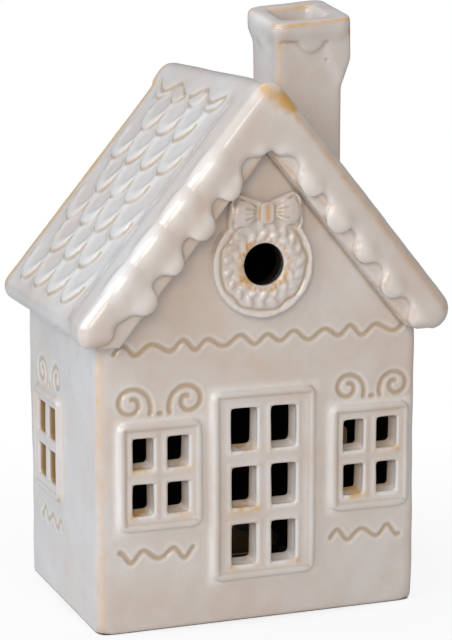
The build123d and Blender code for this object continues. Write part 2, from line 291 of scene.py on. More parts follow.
# %% Mesh helpers
def mesh_object(name, mesh):
    made = bpy.data.objects.new(name, mesh)
    scene.collection.objects.link(made)
    return made


def evaluated_mesh(obj):
    """The object's mesh with its modifiers applied; the object itself is removed."""
    graph = bpy.context.evaluated_depsgraph_get()
    made = bpy.data.meshes.new_from_object(obj.evaluated_get(graph))
    bpy.data.objects.remove(obj)
    return made


def clay_shape(node):
    """A merged copy of a CAD node, as an editable shape."""
    shape = bmesh.new()
    shape.from_mesh(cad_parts[node].data)
    bmesh.ops.remove_doubles(shape, verts=shape.verts, dist=0.001 * MM)
    return shape


def plain_mesh(name, shape):
    made = bpy.data.meshes.new(name)
    shape.to_mesh(made)
    shape.free()
    return made


def clay(node):
    return plain_mesh(node + "_clay", clay_shape(node))


def put_together(name, meshes):
    shape = bmesh.new()
    for mesh in meshes:
        shape.from_mesh(mesh)
    return plain_mesh(name, shape)


def bridge(shape, ring, following):
    """A band of faces between two rings of as many points."""
    for i in range(len(ring)):
        j = (i + 1) % len(ring)
        shape.faces.new((ring[i], ring[j], following[j], following[i]))


def numbers(items, field, width, kind=float):
    """One field of a mesh's items, a row for each."""
    flat = np.empty(len(items) * width, dtype=kind)
    items.foreach_get(field, flat)
    return flat.reshape(-1, width)


def points_of(mesh):
    return numbers(mesh.vertices, "co", 3)


def normals_of(mesh):
    return numbers(mesh.vertex_normals, "vector", 3)


def smoothed(points, edges, passes, share=0.5):
    """Each pass moves the points a share of the way, one for all or one each, to their neighbours' mean."""
    ends = np.concatenate([edges[:, 0], edges[:, 1]])
    others = np.concatenate([edges[:, 1], edges[:, 0]])
    count = np.bincount(ends, minlength=len(points)).astype(float)
    share = np.broadcast_to(share, len(points))[:, None]
    for _ in range(passes):
        mean = np.stack([np.bincount(ends, points[others, k], len(points)) for k in range(3)], axis=1)
        points = points + share * (mean / count[:, None] - points)
    return points


def store(mesh, name, values):
    mesh.attributes.new(name, "FLOAT", "POINT").data.foreach_set("value", values.astype(np.float32))


print("mesh helpers ready")

# %% [markdown]
# ## Strokes
# The maker draws waves and scrolls in the wet clay with a pointed stick, and the tiles' tips are drawn
# the same way. A stroke here is a path of loose edges. A Geometry Nodes tree asks every point of the
# skin how far the path is, presses the near ones in and writes down how near they were, so the shape
# and the colour of a line always agree. A stroke with no depth only marks the glaze, and one with a
# depth below zero raises a soft roll.


# %% Stroke recipe
def stroke_recipe():
    recipe = Recipe("stroke")
    paths, name = recipe.given(Paths="Object", Attribute="String")
    width, depth, tone = recipe.given(Width="Float", Depth="Float", Tone="Float")
    path = recipe.shape_of(paths)
    distance = recipe.node("GeometryNodeProximity", {"target_element": "EDGES"}, [path], "Distance")
    near = (1 - distance / width).clamped()
    profile = near * near * (3 - 2 * near)
    number = {"data_type": "FLOAT"}
    before = recipe.node("GeometryNodeInputNamedAttribute", number, {"Name": name}, "Attribute")
    marked = recipe.node(
        "GeometryNodeStoreNamedAttribute",
        {"data_type": "FLOAT", "domain": "POINT"},
        {"Geometry": recipe.geometry(), "Name": name, "Value": before.most(profile * tone)},
    )
    normal = recipe.node("GeometryNodeInputNormal")
    return recipe.finish(recipe.pushed(marked, normal, 0 - depth * profile), glaze_material)


STROKE = stroke_recipe()
TOUCH = 0.01 * MM
NEAR = 0.05 * MM
stroke_paths = []


def shaky(point):
    """A point moved a little by a few fixed waves, as a hand would."""
    x, y, z = (c / MM for c in point)
    along = 0.22 * math.sin(y * 0.71 + z * 0.43) + 0.14 * math.sin(x * 1.3 - z * 0.9 + 1.0)
    up = 0.22 * math.sin(x * 0.63 + y * 0.52 + 2.0) + 0.12 * math.sin(z * 1.1 + y * 0.8)
    return Vector(point) + Vector((along, along, up)) * MM


def stroke(name, chains, width, depth, tone, attribute="line"):
    """A stroke along chains of points in metres; its width and depth are in millimetres."""
    points = []
    links = []
    for chain in chains:
        first = len(points)
        points.extend(chain)
        links.extend((first + i, first + i + 1) for i in range(len(chain) - 1))
    mesh = bpy.data.meshes.new(name)
    mesh.from_pydata([tuple(p) for p in points], links, [])
    path = mesh_object(name, mesh)
    stroke_paths.append(path)
    print("stroke", name, len(links), "edges")
    return {"Paths": path, "Attribute": attribute, "Width": width * MM, "Depth": depth * MM, "Tone": tone}


def creases(keep, *nodes):
    """The edges of CAD nodes that keep() takes, as two-point chains."""
    found = []
    for node in nodes:
        shape = clay_shape(node)
        kept = [e for e in shape.edges if len(e.link_faces) == 2 and keep(e)]
        found += [[v.co.copy() for v in e.verts] for e in kept]
        shape.free()
    return found


def sharp(edge, least=40):
    return edge.calc_face_angle_signed() > math.radians(least)


def hollow(edge, least=40):
    return edge.calc_face_angle_signed() < -math.radians(least)


def looks_up(edge, least):
    return max(f.normal.z for f in edge.link_faces) > least


def middle_of(edge):
    return (edge.verts[0].co + edge.verts[1].co) / 2


def at_depth(edge, y):
    """Both ends of the edge lie at one depth in the house."""
    return all(abs(v.co.y - y) < NEAR for v in edge.verts)


# %% Fused skin
EDGE_PASSES = 8
EDGE_LEAST = 0.3
EDGE_FULL = 0.14 * MM
EDGE_TONE = 0.35
SOFT_PASSES = 60
# Each skin's voxel size, its smoothing passes and the most triangles it keeps
SKINS = {
    "walls": (0.45 * MM, 7, 190000),
    "wreath_and_bow": (0.28 * MM, 6, 120000),
    "roof": (0.45 * MM, 6, 195000),
    "chimney": (0.40 * MM, 46, 90000),
}


def wobble(points):
    """Slow hand-made unevenness, in metres, from a few fixed waves; none at the foot."""
    x, y, z = (points / MM).T
    wave = np.sin(x * 0.11 + z * 0.07 + 1.3) + np.sin(y * 0.13 - z * 0.05 + 0.4)
    wave = wave + np.sin(x * 0.05 - y * 0.09 + z * 0.12)
    fine = np.sin(x * 0.41 + y * 0.23 + 2.0) * np.sin(z * 0.37 - x * 0.19 + 0.7)
    return (wave * 0.08 + fine * 0.06) * MM * np.clip(z / 4.0, 0, 1)


def glaze_skin(name, meshes, strokes, inside=None, sill=None, painted_shade=None, soft=None):
    """One glazed piece from several clay meshes: remesh, round, measure, draw, wobble, thin out."""
    voxel, passes, triangles = SKINS[name]
    lump = mesh_object(name, put_together(name, meshes))
    melt = lump.modifiers.new("melt", "REMESH")
    melt.mode = "VOXEL"
    melt.voxel_size = voxel
    skin = evaluated_mesh(lump)
    edges = numbers(skin.edges, "vertices", 2, np.int64)
    points = smoothed(points_of(skin), edges, passes)
    if soft:
        points = smoothed(points, edges, SOFT_PASSES, 0.5 * soft(points))
    skin.vertices.foreach_set("co", points.ravel())
    skin.update()
    normals = normals_of(skin)
    none = np.zeros(len(points))
    stands_out = np.einsum("ij,ij->i", points - smoothed(points, edges, EDGE_PASSES), normals)
    thin = EDGE_TONE * np.clip(stands_out / EDGE_FULL - EDGE_LEAST, 0, 1)
    # The edge measure also takes painted shade: the side windows' reveals in tan clay colour.
    store(skin, "edge", np.maximum(thin, painted_shade(points)) if painted_shade else thin)
    store(skin, "line", none)
    store(skin, "pool_and_highlight", none)
    store(skin, "inside", inside(points) if inside else none)
    store(skin, "sill", sill(points, normals) if sill else none)
    piece = mesh_object(name, skin)
    for values in strokes:
        STROKE.add_to(piece, values)
    skin = evaluated_mesh(piece)
    points = points_of(skin)
    points = points + normals_of(skin) * wobble(points)[:, None]
    points[:, 2] = np.maximum(points[:, 2], 0)
    skin.vertices.foreach_set("co", points.ravel())
    dense = len(skin.polygons) * 2
    piece = mesh_object(name, skin)
    if dense > triangles:
        fewer = piece.modifiers.new("fewer", "DECIMATE")
        fewer.ratio = triangles / dense
        skin = evaluated_mesh(piece)
        piece = mesh_object(name, skin)
    skin.polygons.foreach_set("use_smooth", [True] * len(skin.polygons))
    skin.materials.clear()
    skin.materials.append(glaze_material)
    print(name, "dense", dense, "kept", len(skin.polygons))
    return piece


print("skin ready")

# %% [markdown]
# ## Walls
# Four walls with their window panels and door. The panels' rims and the panes come from the packed
# model, and the panes in the front narrow toward the back, as a mould's draft leaves them. The waves and
# scrolls are strokes on the wall faces, worked out here from a few sizes in millimetres.

# %% Wall ornament
WALL_NODES = ["front_wall", "back_wall", "left_wall", "right_wall"]
FRONT_WINDOWS = ["front_left_window", "front_right_window"]
SIDE_WINDOWS = ["left_side_window", "right_side_window"]
FRONT_PANELS = ["door_panel"] + FRONT_WINDOWS
PANEL_NODES = FRONT_PANELS + SIDE_WINDOWS
front_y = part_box("front_wall")[0][1]
inner_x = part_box("right_wall")[0][0]
wall_x, inner_y, wall_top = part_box("right_wall")[1]
WAVE_STEPS = 16


def wave_line(centre, height, pitch, rise, count, start=-0.5):
    """A wave drawn from left to right as (across, up), a little uneven."""
    points = []
    for i in range(round(count * WAVE_STEPS) + 1):
        t = i / WAVE_STEPS
        swing = math.sin(2 * math.pi * t + 0.5 * math.sin(t * 2.3) + start)
        up = height + rise / 2 * swing * (1 + 0.20 * math.sin(t * 3.1))
        points.append((centre + (t - count / 2) * pitch, up))
    return points


SCROLL_EYE = (9.0, 3.7)
SCROLL_TURNS = (212, 180, 135, 90, 0, -90, -180, -265)
SCROLL_RADII = (6.9, 5.8, 4.7, 4.1, 4.0, 3.4, 2.1, 1.1)
SCROLL_STEPS = 64
SCROLL_GAP = 2.2
DOT_HALF = 0.3
WAVE_SHIFT = 0.9
WAVE_DROP = 7.8
WINDOW_WAVE = {"pitch": 7.8, "rise": 3.0, "count": 2.9}


def scroll_line(centre, foot, side, size):
    """One curl over a window: a stem, then a spiral that turns outward and in."""
    points = []
    for i in range(SCROLL_STEPS + 1):
        turn = SCROLL_TURNS[0] + (SCROLL_TURNS[-1] - SCROLL_TURNS[0]) * i / SCROLL_STEPS
        radius = np.interp(-turn, [-t for t in SCROLL_TURNS], SCROLL_RADII)
        across = SCROLL_EYE[0] + radius * math.cos(math.radians(turn))
        up = SCROLL_EYE[1] + radius * math.sin(math.radians(turn))
        points.append((centre + side * across * size, foot + up * size))
    return points


def window_lines(node, axis, size, start=-0.5, shift=0.0):
    """The scrolls, the dot between them and the wave under one window, as (across, up)."""
    low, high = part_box(node)
    middle = (low[axis] + high[axis]) / 2 / MM
    foot = high[2] / MM + SCROLL_GAP
    centre = middle + shift
    dot = [(centre - DOT_HALF, foot), (centre + DOT_HALF, foot)]
    wave = wave_line(middle - WAVE_SHIFT, low[2] / MM - WAVE_DROP, **WINDOW_WAVE, start=start)
    return [scroll_line(centre, foot, -1, size), scroll_line(centre, foot, 1, size), dot, wave]


WAVE_LEAN = 0.016
SCROLL_SIZES = (0.96, 0.85)
SCROLL_SHIFTS = (0.2, 0.8)
WAVE_STARTS = (1.5, -0.5)
SIDE_SCROLL = 0.85
gable_wave = wave_line(centre=0.4, height=84.5, pitch=8.8, rise=2.7, count=10.25)
wall_lines = [[(x * MM, front_y, (z + x * WAVE_LEAN) * MM) for x, z in gable_wave]]
for node, size, start, shift in zip(FRONT_WINDOWS, SCROLL_SIZES, WAVE_STARTS, SCROLL_SHIFTS):
    for line in window_lines(node, 0, size, start, shift):
        wall_lines.append([(x * MM, front_y, z * MM) for x, z in line])
for node, x in zip(SIDE_WINDOWS, (-wall_x, wall_x)):
    for line in window_lines(node, 1, SIDE_SCROLL):
        wall_lines.append([(x, y * MM, z * MM) for y, z in line])

panel_lines = creases(hollow, *PANEL_NODES)
panel_feet = []
for node in FRONT_PANELS:
    low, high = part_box(node)
    turns = [(low.x, low.z), (high.x, low.z), (high.x, high.z), (low.x, high.z), (low.x, low.z)]
    panel_feet.append([(x, front_y, z) for x, z in turns])

panel_face = front_y - 1.0 * MM


def on_pane(edge):
    return sharp(edge) and at_depth(edge, panel_face)


def on_sill(edge):
    return on_pane(edge) and looks_up(edge, 0.9)


def long_at(y):
    """Takes the long edges at one depth in the house."""
    return lambda edge: at_depth(edge, y) and edge.calc_length() > LONG_EDGE


BOARD_NODES = ["front_left_bargeboard", "front_right_bargeboard"]
LONG_EDGE = 40 * MM
pane_edges = creases(on_pane, *FRONT_PANELS)
sill_lines = creases(on_sill, *FRONT_PANELS)
board_lines = creases(long_at(front_y), *BOARD_NODES)
SPLAY = {"left": 0.5 * MM, "right": 1.0 * MM, "sill": 1.5 * MM, "head": 0.5 * MM}
SPLAY_GRIP = 0.7 * MM


def panes_of(node):
    """The (x, x, z, z) limits of a panel's openings on its face."""
    edges = creases(on_pane, node)
    across = sorted({round(a.x / MM, 2) for a, b in edges if abs(a.x - b.x) < TOUCH})
    up = sorted({round(a.z / MM, 2) for a, b in edges if abs(a.z - b.z) < TOUCH})
    rows = list(zip(up[::2], up[1::2]))
    limits = [columns + row for columns in zip(across[::2], across[1::2]) for row in rows]
    return [[c * MM for c in limit] for limit in limits]


def splay(x0, x1, z0, z1):
    """A ring of clay that narrows an opening toward the back, as the draft of a mould does."""
    outer = (x0 - SPLAY_GRIP, x1 + SPLAY_GRIP, z0 - SPLAY_GRIP, z1 + SPLAY_GRIP)
    inner = (x0 + SPLAY["left"], x1 - SPLAY["right"], z0 + SPLAY["sill"], z1 - SPLAY["head"])
    near = panel_face + 0.8 * MM
    far = -inner_y - 0.2 * MM
    shape = bmesh.new()
    loops = []
    for (a, b, c, d), y in ((outer, near), ((x0, x1, z0, z1), near), (inner, far), (outer, far)):
        loops.append([shape.verts.new((x, y, z)) for x, z in ((a, c), (b, c), (b, d), (a, d))])
    for loop, following in zip(loops, loops[1:] + loops[:1]):
        bridge(shape, loop, following)
    bmesh.ops.recalc_face_normals(shape, faces=shape.faces)
    return plain_mesh("splay", shape)


openings = [pane for node in FRONT_PANELS for pane in panes_of(node)]
print("panes in the front", len(openings))


def front_corner(side):
    return [(side * wall_x, front_y, z) for z in (0, wall_top)]


# %% Walls
wreath_low, wreath_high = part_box("wreath")
vent = Vector((0, front_y, wreath_low[2] + (wreath_high[0] - wreath_low[0]) / 2))
VENT_RADIUS = 6.2 * MM


def in_vent(points):
    """1 on the bore of the gable vent, painted near black as shade like the inside."""
    x, y, z = points.T
    reach = np.hypot(x, z - vent.z)
    behind = np.clip((y - wreath_low[1]) / MM - 0.2, 0, 1)
    return np.clip(1.5 - (reach - VENT_RADIUS) / (0.4 * MM), 0, 1) * behind * (y < 0)


def in_chamber(points):
    """1 on the inner faces of the walls and in the gable vent, which are painted near black as shade; 0 on
    what is glazed.
    """
    deep = np.minimum(inner_x - np.abs(points[:, 0]), inner_y - np.abs(points[:, 1]))
    painted_shade = np.maximum(np.clip(deep / (0.5 * MM) + 1.5, 0, 1), in_vent(points))
    # Painted shade: the side windows' reveals are darkened part of the way to the near-black inside.
    return np.maximum(painted_shade, 0.45 * reveal_shade(points))


def under_panes(points, normals):
    """1 on the ledges that look up inside the panes' openings; they are stained ochre and also painted whiter
    as lit from above.
    """
    _, y, z = points.T
    in_front = (y > front_y) & (y < -inner_y)
    return np.clip(normals[:, 2] * 2 - 0.4, 0, 1) * in_front * (z > 5 * MM)


side_low, side_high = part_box("right_side_window")


def reveal_shade(points):
    """How strongly the reveals of the side walls' openings are painted as shade, in tan clay colour and
    partly near black.
    """
    x, y, z = points.T
    across = (wall_x - np.abs(x)) / MM
    room = 2.5 * MM
    in_window = (y > side_low.y + room) & (y < side_high.y - room)
    in_window &= (z > side_low.z + room) & (z < side_high.z - room)
    return np.clip(across / 0.7 + 0.9, 0, 1) * in_window * (across < 5.5)


def corner_soft(points):
    """1 on the walls' upright corners, which the mould rounds; 0 elsewhere."""
    reach = np.hypot(wall_x - np.abs(points[:, 0]), -front_y - np.abs(points[:, 1]))
    return np.clip(1.7 - reach / (2.4 * MM), 0, 1) * (points[:, 1] < 0)


wall_strokes = [
    stroke("ornament_border", wall_lines, 2.6, -0.16, 0.8, "pool_and_highlight"),
    stroke("ornament", wall_lines, 1.40, 0.58, 1.0),
    stroke("panel_feet", panel_feet, 2.6, 0.0, 0.95, "pool_and_highlight"),
    stroke("pane_beads", pane_edges, 1.7, -0.38, 0.5, "pool_and_highlight"),
    stroke("panel_rims", panel_lines, 0.9, 0.16, 0.70),
    stroke("board_foot", board_lines, 1.0, 0.15, 0.7),
    stroke("sills", sill_lines, 2.0, 0.0, 1.0, "sill"),
    stroke("left_corner", [front_corner(-1)], 4.4, 0.0, 0.78, "edge"),
    stroke("right_corner", [front_corner(1)], 2.6, 0.0, 0.55, "edge"),
]
wall_clay = [clay(n) for n in WALL_NODES + PANEL_NODES] + [splay(*pane) for pane in openings]
walls = glaze_skin("walls", wall_clay, wall_strokes, in_chamber, under_panes, reveal_shade, corner_soft)
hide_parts(*WALL_NODES, *PANEL_NODES)

# %% [markdown]
# ## Wreath and bow
# A pressed ring of leaves with small berries round the hole, and a ribbon bow. Leaves and berries repeat
# round a circle, so a Geometry Nodes tree sets them out; the ring, the bow and all of them then melt
# into one skin like the rest, with a finer voxel because the shapes are small.


# %% Ring of leaves
def ring_recipe():
    recipe = Recipe("ring")
    count, radius, lean = recipe.given(Count="Int", Radius="Float", Lean="Float")
    centre, seed, member = recipe.given(Centre="Vector", Seed="Int", Member="Object")
    circle = recipe.node("GeometryNodeMeshCircle", {}, {"Vertices": count, "Radius": radius})
    index = recipe.node("GeometryNodeInputIndex")
    angle = index / count * (2 * math.pi) + lean
    turn = recipe.node("ShaderNodeCombineXYZ", {}, {"Z": angle})
    members = recipe.copies(circle, recipe.shape_of(member), turn, 0.8, 1.15, seed)
    sockets = {"Geometry": members, "Translation": centre, "Rotation": (math.pi / 2, 0, 0)}
    return recipe.finish(recipe.node("GeometryNodeTransform", {}, sockets), glaze_material)


RING = ring_recipe()


def ball(name, radii, centre=(0, 0, 0)):
    """A small ellipsoid of a few dozen faces; its radii are in millimetres, its centre in metres."""
    shape = bmesh.new()
    bmesh.ops.create_uvsphere(shape, u_segments=10, v_segments=6, radius=1.0)
    bmesh.ops.scale(shape, vec=[r * MM for r in radii], verts=shape.verts)
    bmesh.ops.translate(shape, vec=centre, verts=shape.verts)
    return plain_mesh(name, shape)


def set_out(recipe, name, radii, values):
    """What a recipe makes of a ball with those radii, as one mesh."""
    member = mesh_object(name + "_member", ball(name, radii))
    host = mesh_object(name, bpy.data.meshes.new(name))
    recipe.add_to(host, values | {"Member": member})
    made = evaluated_mesh(host)
    bpy.data.objects.remove(member)
    print(name, values["Count"], "members,", len(made.polygons), "faces")
    return made


def ring_of(name, radii, count, radius, lean, sink, seed):
    """A ring of balls round the vent; radius and sink behind the wreath's face are in millimetres."""
    centre = (0, wreath_low[1] + sink * MM, vent.z)
    values = {"Count": count, "Radius": radius * MM, "Lean": math.radians(lean)}
    return set_out(RING, name, radii, values | {"Centre": centre, "Seed": seed})


LEAF = (2.1, 1.1, 1.0)
wreath_radius = (wreath_high[0] - wreath_low[0]) / 2
border_radius = wreath_radius - 1.3 * MM
leaves = [
    ring_of("border", (0.9, 1.1, 0.8), 150, border_radius / MM, 0, 0.6, 2),
    ring_of("outer_leaves", LEAF, 19, 11.2, 40, 0.3, 3),
    ring_of("inner_leaves", LEAF, 16, 9.0, -40, 0.3, 5),
    ring_of("berries", (0.7, 0.7, 0.8), 28, 7.4, 0, 0.3, 8),
]

# %% Wreath and bow
bow_low, bow_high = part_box("bow")
BOW_STRETCH = 1.13
bow_high.z = bow_low.z + (bow_high.z - bow_low.z) * BOW_STRETCH
bow_centre = (bow_low + bow_high) / 2


def bow_clay():
    """The bow pulled up and drawn in a little at its top corners, as a soft ribbon is."""
    shape = clay_shape("bow")
    for vert in shape.verts:
        vert.co.z = bow_low.z + (vert.co.z - bow_low.z) * BOW_STRETCH
        above = max(0.0, (vert.co.z - bow_centre.z) / (bow_high.z - bow_centre.z))
        vert.co.x = bow_centre.x + (vert.co.x - bow_centre.x) * (1 - 0.10 * above)
    return plain_mesh("bow_clay", shape)


PUFF = (4.4, 1.9, 4.4)
bow_half = (bow_high.x - bow_low.x) / 2
loop_y = front_y - 2.6 * MM
puffs = []
for side in (-1, 1):
    puff_place = (bow_centre.x + side * 0.60 * bow_half, loop_y + 0.3 * MM, bow_centre.z)
    puffs.append(ball("puff", PUFF, puff_place))


def ring_path(radius, sink, ripple=0.0):
    """A circle round the vent; sink behind the wreath's face and ripple are in millimetres."""
    turns = [2 * math.pi * i / 120 for i in range(121)]
    reach = [radius + ripple * MM * (math.sin(9 * t + 1) + 0.6 * math.sin(14 * t)) for t in turns]
    y = wreath_low[1] + sink * MM
    return [[(r * math.cos(t), y, vent.z + r * math.sin(t)) for r, t in zip(reach, turns)]]


PLEAT_RISES = (-1.6, 0.0, 1.6)
LOOP_OUTLINE = (
    (3.0, 1.8), (6.2, 3.5), (8.7, 4.8), (9.5, 3.9), (10.1, 0.0),
    (10.3, -3.6), (9.6, -4.6), (6.5, -3.4), (3.0, -1.8),
)


def bow_point(side, across, up, out):
    """A point on the bow from its middle, in millimetres; out is measured from the loops' face."""
    return (bow_centre.x + side * across * MM, loop_y - out * MM, bow_centre.z + up * MM)


def pleats(side):
    """Three creases that run out from the knot."""
    return [[bow_point(side, 2.8, r * 0.5, 0.6), bow_point(side, 6.6, r, 1.2)] for r in PLEAT_RISES]


def loop_outline(side):
    """The line just inside a loop's edge."""
    return [bow_point(side, across, up, 0.2) for across, up in LOOP_OUTLINE]


knot_line = [(bow_centre.x, bow_low.y, bow_centre.z + up * MM) for up in (-2, 2)]
knot_sides = [[bow_point(side, 2.3, -1.6, 0.3), bow_point(side, 2.3, 1.6, 0.3)] for side in (-1, 1)]
wreath_strokes = [
    stroke("wreath_groove", ring_path(wreath_radius - 2.7 * MM, 0.2, 0.25), 0.9, 0.45, 0.85),
    stroke("wreath_ring", ring_path(border_radius, 0), 1.2, 0.0, 0.8, "pool_and_highlight"),
    stroke("bow_pleats", pleats(-1) + pleats(1), 0.6, 0.3, 0.8),
    stroke("bow_outline", [loop_outline(-1), loop_outline(1)], 0.7, 0.35, 0.75),
    stroke("knot_sides", knot_sides, 1.2, 0.0, 0.8, "edge"),
    stroke("berry_glaze", ring_path(7.3 * MM, -0.4, 0.5), 1.7, 0.0, 0.75, "edge"),
    stroke("berry_flecks", ring_path(7.6 * MM, -0.4, 0.5), 2.6, 0.0, 1.0, "sill"),
    stroke("knot_glaze", [knot_line], 1.7, 0.0, 0.85, "edge"),
]
wreath_clay = [clay("wreath"), bow_clay()] + leaves + puffs
wreath = glaze_skin("wreath_and_bow", wreath_clay, wreath_strokes, in_vent)
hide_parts("wreath", "bow")

# %% [markdown]
# ## Roof
# The slabs, their tiles, the ridge and the icing of the front verge melt together. The tiles' tips are
# drawn lines in the real clay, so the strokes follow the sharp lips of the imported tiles.

# %% Roof strokes
SLOPE_NODES = ["left_roof_slope", "right_roof_slope"]
ICING_NODES = ["front_left_icing", "front_right_icing"]
slab_front, slab_back = [corner[1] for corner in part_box("left_roof_slope")]
stack_low, stack_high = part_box("chimney_stack")


def slope_normal(node):
    """The way the slab's largest upper face looks."""
    shape = clay_shape(node)
    upper = [f for f in shape.faces if f.normal.z > 0.3]
    normal = max(upper, key=lambda f: f.calc_area()).normal.copy()
    shape.free()
    return normal


def beside_stack(edge):
    middle = middle_of(edge)
    room = 0.6 * MM
    across = stack_low[0] - room < middle.x < stack_high[0] + room
    return across and stack_low[1] - room < middle.y < stack_high[1] + room


def tile_lips(node):
    up = slope_normal(node)

    def lip(edge):
        lean = sorted(f.normal.dot(up) for f in edge.link_faces)
        run = (edge.verts[1].co - edge.verts[0].co).normalized()
        tip = lean[1] > 0.95 and lean[0] < 0.5 and abs(run.y) > 0.10
        ends = at_depth(edge, slab_back) or at_depth(edge, slab_front)
        return sharp(edge) and tip and not ends and not beside_stack(edge)

    return [[shaky(p) for p in chain] for chain in creases(lip, node)]


def back_verge(node):
    """The slope's back edge, moved a little inward to where the eye still sees it."""
    up = slope_normal(node)

    def back(edge):
        return at_depth(edge, slab_back) and max(f.normal.dot(up) for f in edge.link_faces) > 0.95

    inward = Vector((0, -2.6 * MM, 0))
    return [[p + inward for p in chain] for chain in creases(back, node)]


TILE_RISE = 3.4
TOP_ROWS = 14 * MM
tile_lines = []
tile_bodies = []
for node in SLOPE_NODES:
    up = slope_normal(node)
    rise = Vector((-up.z * math.copysign(1, up.x), 0, abs(up.x))) * TILE_RISE * MM
    lips = tile_lips(node)
    tile_lines += lips
    low_tiles = [chain for chain in lips if chain[0].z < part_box(node)[1][2] - TOP_ROWS]
    tile_bodies += [[p + rise for p in chain] for chain in low_tiles]
ridge_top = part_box("ridge_cap")[1][2]
icing_low, icing_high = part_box("front_right_icing")
icing_front = icing_low.y
apex_left = (-2.0 * MM, icing_front + 1.0 * MM, ridge_top - 2.0 * MM)
apex_right = (6.5 * MM, icing_front + 0.6 * MM, ridge_top - 6.5 * MM)
apex_patch = [[apex_left, apex_right]]

# %% [markdown]
# Each drip of the icing is a soft lump, not a flat plate. The lumps repeat along the verge, so a Geometry
# Nodes tree sets them out on a line between the first drip and the last, and they melt in with the rest.


# %% Row of lumps
def row_recipe():
    recipe = Recipe("row")
    count, member = recipe.given(Count="Int", Member="Object")
    start, step, turn = recipe.given(Start="Vector", Step="Vector", Turn="Vector")
    line = recipe.node("GeometryNodeMeshLine", {}, {"Count": count, "Start Location": start, "Offset": step})
    members = recipe.copies(line, recipe.shape_of(member), turn, 0.85, 1.1, 4)
    return recipe.finish(members, glaze_material)


ROW = row_recipe()
ICING_DRIPS = 6
LUMP = (4.6, 1.15, 4.5)
LUMP_RISE = 2.6 * MM
LUMP_SINK = Vector((0, 0.4 * MM, 0))
ROLL_RISE = 10.4 * MM
ROLL_SINK = Vector((0, 1.2 * MM, 0))
FOOT_DEPTH = 9.0 * MM
FOOT_PULL = 4.0 * MM
RAMP_RUN = 15.0 * MM
RAMP_DROP = 3.2 * MM
strip_back = icing_high.y


def verge_axes(side):
    """The lowest drip's middle on one verge, the step to the next drip and the way to the roof's edge."""
    points = points_of(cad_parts["front_right_icing"].data)
    apex_z = points[np.abs(points[:, 0]) < TOUCH][:, 2].min()
    foot_x = points[points[:, 2] < icing_low.z + TOUCH][:, 0].min()
    foot = Vector((side * foot_x, icing_front, icing_low.z))
    apex = Vector((0, icing_front, apex_z))
    step = (apex - foot) * 2 / (2 * ICING_DRIPS - 1)
    return foot + step / 4, step, Vector((side * abs(step.z), 0, abs(step.x))).normalized()


def drip_lumps(side):
    first, step, up = verge_axes(side)
    start = first + step + up * LUMP_RISE + LUMP_SINK
    turn = (0, math.atan2(up.x, up.z), 0)
    return set_out(ROW, "lumps", LUMP, {"Count": ICING_DRIPS - 2, "Start": start, "Step": step, "Turn": turn})


def step_ramp(side):
    """A long wedge of icing that runs the verge's strip out over the first tiles."""
    slope, icing = [nodes[side > 0] for nodes in (SLOPE_NODES, ICING_NODES)]
    up = slope_normal(slope)
    points = points_of(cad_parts[icing].data)
    at_back = points[np.abs(points[:, 1] - strip_back) < TOUCH]
    heights = at_back @ np.array(up)
    tops = at_back[heights > heights.max() - 0.2 * MM]
    low = Vector(tops[tops[:, 2].argmin()])
    high = Vector(tops[tops[:, 2].argmax()])
    run = Vector((0, RAMP_RUN, 0))
    drop = -up * RAMP_DROP
    shape = bmesh.new()
    ends = [[shape.verts.new(p) for p in (q + drop, q, q + drop + run)] for q in (low, high)]
    shape.faces.new(ends[0])
    shape.faces.new(ends[1])
    bridge(shape, *ends)
    bmesh.ops.recalc_face_normals(shape, faces=shape.faces)
    return plain_mesh("ramp", shape)


left_axes = verge_axes(-1)


def drawn_back(point):
    """A point of the left icing, moved toward the verge if it lies on the lowest drip."""
    first, step, up = left_axes
    reach = point - first
    near = min(1.0, max(0.0, 1.8 - reach.dot(step.normalized()) / (step.length / 4)))
    low = min(1.0, max(0.0, 1 - reach.dot(up) / FOOT_DEPTH))
    return point + up * FOOT_PULL * near * low


def left_icing_clay():
    shape = clay_shape("front_left_icing")
    for vert in shape.verts:
        vert.co = drawn_back(vert.co)
    return plain_mesh("front_left_icing_clay", shape)


def lump_line(side):
    first, step, _ = verge_axes(side)
    lift = Vector((side * 1.6, 0, 1.4)) * MM
    return [first + lift, first + step * (ICING_DRIPS - 1) + lift]


def verge_rolls(side):
    """Short lines on the verge's outer edge over each drip, where the stroke raises soft rolls and paints
    them white as highlights.
    """
    first, step, up = verge_axes(side)
    lines = []
    for i in range(1, ICING_DRIPS - 1):
        middle = first + step * i + up * ROLL_RISE + ROLL_SINK
        longer = 0.05 if i % 2 == 0 else 0.0
        lines.append([middle - step * 0.14, middle + step * (0.10 + longer)])
    return lines


def icing_soft(points):
    """1 on the icing's face and where its strip meets the tiles, which are soft rolls; 0 elsewhere."""
    y = points[:, 1]
    on_face = 0.4 * np.clip((slab_front - y) / (0.8 * MM), 0, 1)
    at_step = np.clip(2.0 - np.abs(y - strip_back - 3.0 * MM) / (4.0 * MM), 0, 1)
    on_tiles = 0.5 * np.clip((y - strip_back) / (2.0 * MM), 0, 1)
    return np.maximum(np.maximum(on_face, at_step), on_tiles)


# %% Roof
def on_drip(edge):
    return at_depth(edge, slab_front) and sharp(edge, 20)


def on_verge(edge):
    return looks_up(edge, 0.2) and at_depth(edge, icing_front) and sharp(edge, 20)


